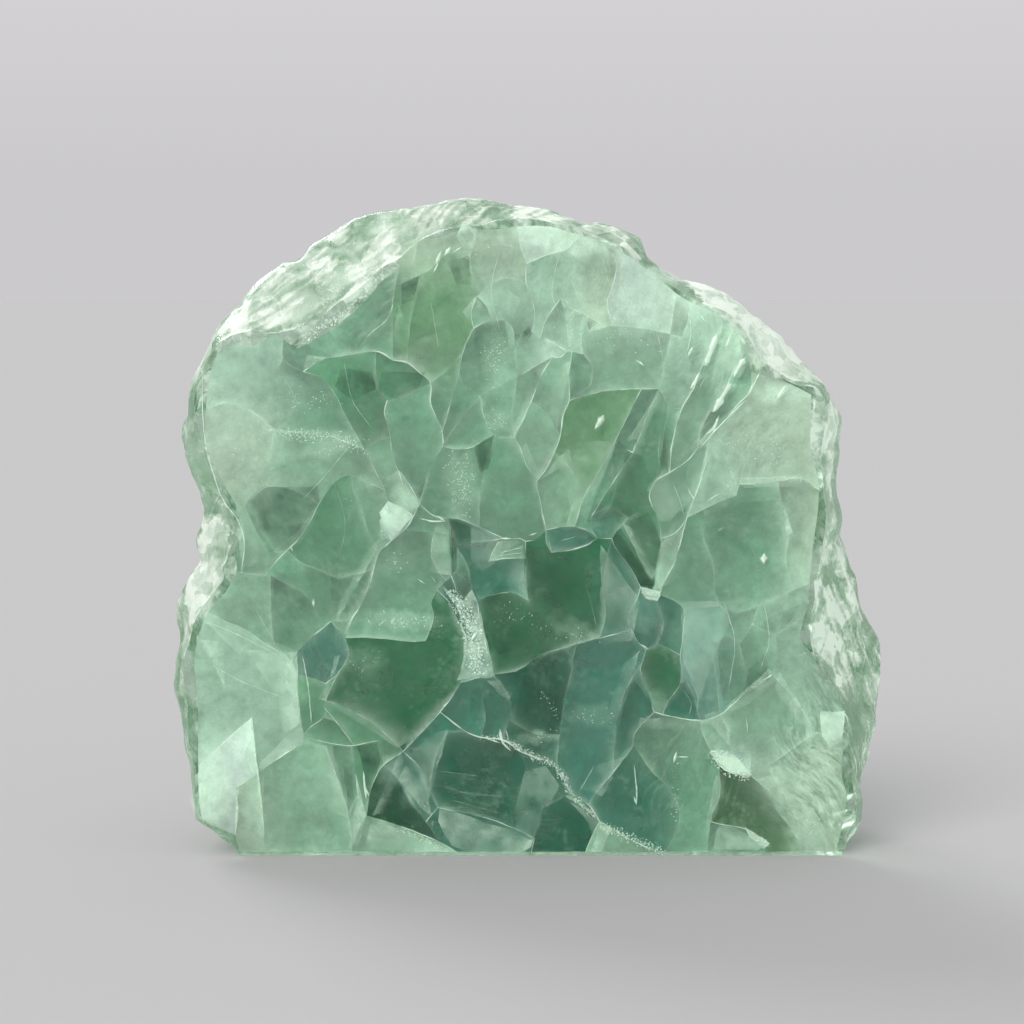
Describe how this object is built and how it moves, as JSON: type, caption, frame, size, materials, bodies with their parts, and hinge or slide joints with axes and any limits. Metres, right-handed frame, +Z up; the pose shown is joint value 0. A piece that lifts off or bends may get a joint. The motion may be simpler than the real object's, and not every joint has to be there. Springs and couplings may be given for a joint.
{
  "type": "fluorite freeform",
  "caption": "Translucent green fluorite freeform: polished flat front, sawn flat foot it stands on, rough broken rim and back.",
  "frame": {"origin": "middle of the stone's box, at the level of the sawn foot", "axes": "+Z up, -Y out of the polished face, +X to the right as seen from the polished face"},
  "size_m": [0.1266, 0.0482, 0.1155],
  "materials": {
    "fluorite": "clear to cloudy green fluorite, polished on the front, sawn underneath, rough where it broke"
  },
  "bodies": {
    "root": {"fluorite_stone": "fluorite"}
  },
  "joints": []
}
